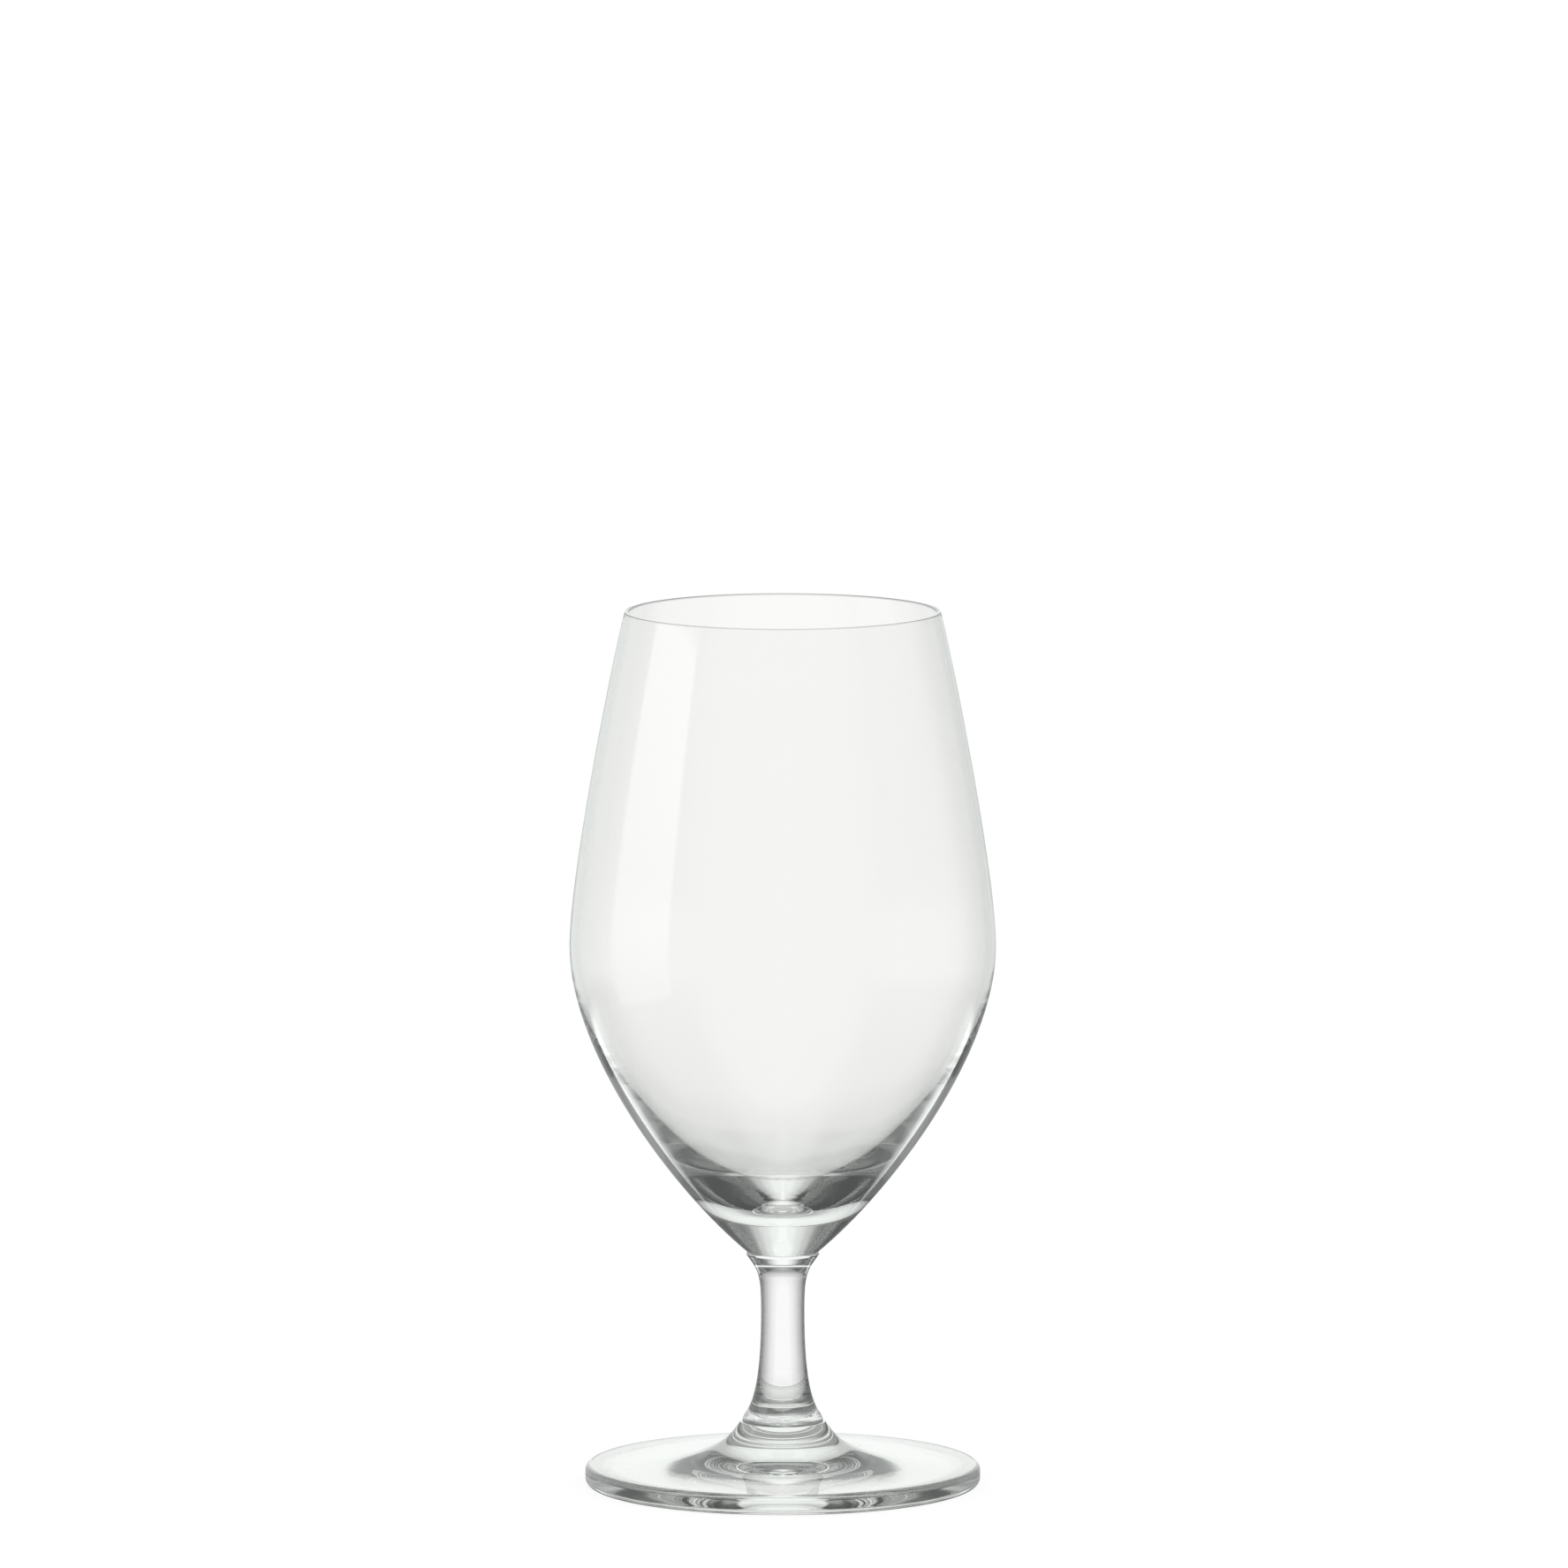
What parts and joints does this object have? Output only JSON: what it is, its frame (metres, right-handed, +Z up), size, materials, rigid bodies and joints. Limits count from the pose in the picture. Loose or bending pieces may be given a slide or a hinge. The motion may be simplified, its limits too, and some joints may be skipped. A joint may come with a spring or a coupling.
{
  "type": "stemmed water glass",
  "caption": "Clear glass goblet with a tall bowl that narrows to the rim, a short flared stem and a round flat foot, for drinking water.",
  "frame": {"origin": "on the table, at the middle of the foot", "axes": "+Z up along the glass's axis from the foot to the rim; the glass is round, so +X and +Y are any two directions square to it"},
  "size_m": [0.083, 0.083, 0.1713],
  "materials": {
    "bowl_glass": "clear, blown and fire polished",
    "stem_glass": "clear, drawn and fire polished",
    "foot_glass": "clear, pressed and fire polished"
  },
  "bodies": {
    "root": {"bowl": "bowl_glass", "stem": "stem_glass", "foot": "foot_glass"}
  },
  "joints": []
}
